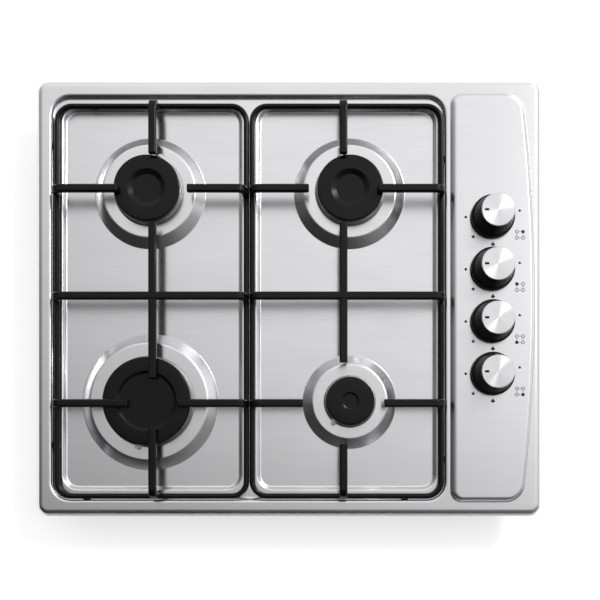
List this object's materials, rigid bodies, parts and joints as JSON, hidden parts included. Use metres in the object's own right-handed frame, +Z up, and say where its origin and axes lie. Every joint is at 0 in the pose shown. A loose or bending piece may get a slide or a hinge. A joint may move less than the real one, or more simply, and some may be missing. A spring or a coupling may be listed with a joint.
{
  "type": "gas cooktop",
  "caption": "Built-in gas cooktop in brushed steel, with lift-off burner caps and pan supports and push-and-turn knobs on a raised side panel.",
  "frame": {"origin": "centre of the rim, on the worktop's surface, where the rim's gasket rests", "axes": "+X to the user's right, +Y to the rear, +Z up"},
  "size_m": [0.58, 0.5, 0.089],
  "materials": {
    "steel": "brushed, grain along X",
    "gasket": "closed-cell foam",
    "galvanised": "galvanised",
    "cast_alloy": "as cast",
    "enamel": "satin enamel",
    "tube_alloy": "drawn",
    "ceramic": "glazed",
    "brass": "machined",
    "spindle_steel": "turned",
    "knob_plastic": "satin",
    "disc_alloy": "spun",
    "seal_rubber": "matt",
    "switch_plastic": "matt",
    "terminal_plastic": "matt",
    "foot_rubber": "matt"
  },
  "bodies": {
    "hob_body": {"hob_top": "steel", "rim_gasket": "gasket", "bottom_tray": "galvanised", "tray_posts": "galvanised", "tray_screws": "galvanised", "clamp_nuts": "galvanised", "gas_rail": "galvanised", "rail_saddles": "galvanised", "burner_cup_rear_left": "cast_alloy", "supply_pipe_rear_left": "tube_alloy", "burner_cup_rear_right": "cast_alloy", "supply_pipe_rear_right": "tube_alloy", "burner_cup_front_left": "cast_alloy", "supply_pipe_front_left": "tube_alloy", "burner_cup_front_right": "cast_alloy", "supply_pipe_front_right": "tube_alloy", "spark_plugs": "ceramic", "jets": "brass", "inlet_elbow": "brass", "tap_body_1": "brass", "tap_body_2": "brass", "tap_body_3": "brass", "tap_body_4": "brass", "knob_seals": "seal_rubber", "cable_grommet": "seal_rubber", "ignition_switches": "switch_plastic", "ignition_module": "switch_plastic", "terminal_block": "terminal_plastic"},
    "tap_1_turning": {"tap_plug_1": "brass"},
    "knob_1_pushing": {"knob_1": "knob_plastic", "knob_disc_1": "disc_alloy", "tap_spindle_1": "spindle_steel"},
    "tap_2_turning": {"tap_plug_2": "brass"},
    "knob_2_pushing": {"knob_2": "knob_plastic", "knob_disc_2": "disc_alloy", "tap_spindle_2": "spindle_steel"},
    "tap_3_turning": {"tap_plug_3": "brass"},
    "knob_3_pushing": {"knob_3": "knob_plastic", "knob_disc_3": "disc_alloy", "tap_spindle_3": "spindle_steel"},
    "tap_4_turning": {"tap_plug_4": "brass"},
    "knob_4_pushing": {"knob_4": "knob_plastic", "knob_disc_4": "disc_alloy", "tap_spindle_4": "spindle_steel"},
    "pan_support_left_set": {"pan_support_left": "enamel", "support_feet_left": "foot_rubber"},
    "pan_support_right_set": {"pan_support_right": "enamel", "support_feet_right": "foot_rubber"},
    "cap_rear_left": {"burner_cap_rear_left": "enamel"},
    "spreader_rear_left": {"flame_spreader_rear_left": "cast_alloy"},
    "cap_rear_right": {"burner_cap_rear_right": "enamel"},
    "spreader_rear_right": {"flame_spreader_rear_right": "cast_alloy"},
    "cap_front_left": {"burner_cap_front_left": "enamel"},
    "spreader_front_left": {"flame_spreader_front_left": "cast_alloy"},
    "cap_front_right": {"burner_cap_front_right": "enamel"},
    "spreader_front_right": {"flame_spreader_front_right": "cast_alloy"}
  },
  "joints": [
    {"name": "knob_1_turn", "type": "hinge", "parent": "hob_body", "child": "tap_1_turning", "pos_m": [0.232, 0.0914, -0.03], "axis": [0, 0, 1], "range_deg": [0, 194]},
    {"name": "knob_1_push", "type": "slide", "parent": "tap_1_turning", "child": "knob_1_pushing", "axis": [0, 0, 1], "range_m": [-0.0035, 0], "stiffness_N_per_m": 2000, "springref_m": 0.001},
    {"name": "knob_2_turn", "type": "hinge", "parent": "hob_body", "child": "tap_2_turning", "pos_m": [0.232, 0.0318, -0.03], "axis": [0, 0, 1], "range_deg": [0, 194]},
    {"name": "knob_2_push", "type": "slide", "parent": "tap_2_turning", "child": "knob_2_pushing", "axis": [0, 0, 1], "range_m": [-0.0035, 0], "stiffness_N_per_m": 2000, "springref_m": 0.001},
    {"name": "knob_3_turn", "type": "hinge", "parent": "hob_body", "child": "tap_3_turning", "pos_m": [0.232, -0.0278, -0.03], "axis": [0, 0, 1], "range_deg": [0, 194]},
    {"name": "knob_3_push", "type": "slide", "parent": "tap_3_turning", "child": "knob_3_pushing", "axis": [0, 0, 1], "range_m": [-0.0035, 0], "stiffness_N_per_m": 2000, "springref_m": 0.001},
    {"name": "knob_4_turn", "type": "hinge", "parent": "hob_body", "child": "tap_4_turning", "pos_m": [0.232, -0.0874, -0.03], "axis": [0, 0, 1], "range_deg": [0, 194]},
    {"name": "knob_4_push", "type": "slide", "parent": "tap_4_turning", "child": "knob_4_pushing", "axis": [0, 0, 1], "range_m": [-0.0035, 0], "stiffness_N_per_m": 2000, "springref_m": 0.001},
    {"name": "pan_support_left_lift", "type": "slide", "parent": "hob_body", "child": "pan_support_left_set", "axis": [0, 0, 1], "range_m": [0, 0.12]},
    {"name": "pan_support_right_lift", "type": "slide", "parent": "hob_body", "child": "pan_support_right_set", "axis": [0, 0, 1], "range_m": [0, 0.12]},
    {"name": "cap_rear_left_lift", "type": "slide", "parent": "hob_body", "child": "cap_rear_left", "axis": [0, 0, 1], "range_m": [0, 0.06]},
    {"name": "spreader_rear_left_lift", "type": "slide", "parent": "hob_body", "child": "spreader_rear_left", "axis": [0, 0, 1], "range_m": [0, 0.03]},
    {"name": "cap_rear_right_lift", "type": "slide", "parent": "hob_body", "child": "cap_rear_right", "axis": [0, 0, 1], "range_m": [0, 0.06]},
    {"name": "spreader_rear_right_lift", "type": "slide", "parent": "hob_body", "child": "spreader_rear_right", "axis": [0, 0, 1], "range_m": [0, 0.03]},
    {"name": "cap_front_left_lift", "type": "slide", "parent": "hob_body", "child": "cap_front_left", "axis": [0, 0, 1], "range_m": [0, 0.06]},
    {"name": "spreader_front_left_lift", "type": "slide", "parent": "hob_body", "child": "spreader_front_left", "axis": [0, 0, 1], "range_m": [0, 0.03]},
    {"name": "cap_front_right_lift", "type": "slide", "parent": "hob_body", "child": "cap_front_right", "axis": [0, 0, 1], "range_m": [0, 0.06]},
    {"name": "spreader_front_right_lift", "type": "slide", "parent": "hob_body", "child": "spreader_front_right", "axis": [0, 0, 1], "range_m": [0, 0.03]}
  ],
  "couplings": [
    {"joint": "cap_rear_left_lift", "follows": "pan_support_left_lift", "ratio": 0.5},
    {"joint": "spreader_rear_left_lift", "follows": "pan_support_left_lift", "ratio": 0.25},
    {"joint": "cap_rear_right_lift", "follows": "pan_support_right_lift", "ratio": 0.5},
    {"joint": "spreader_rear_right_lift", "follows": "pan_support_right_lift", "ratio": 0.25},
    {"joint": "cap_front_left_lift", "follows": "pan_support_left_lift", "ratio": 0.5},
    {"joint": "spreader_front_left_lift", "follows": "pan_support_left_lift", "ratio": 0.25},
    {"joint": "spreader_front_right_lift", "follows": "cap_front_right_lift", "ratio": 0.5}
  ]
}
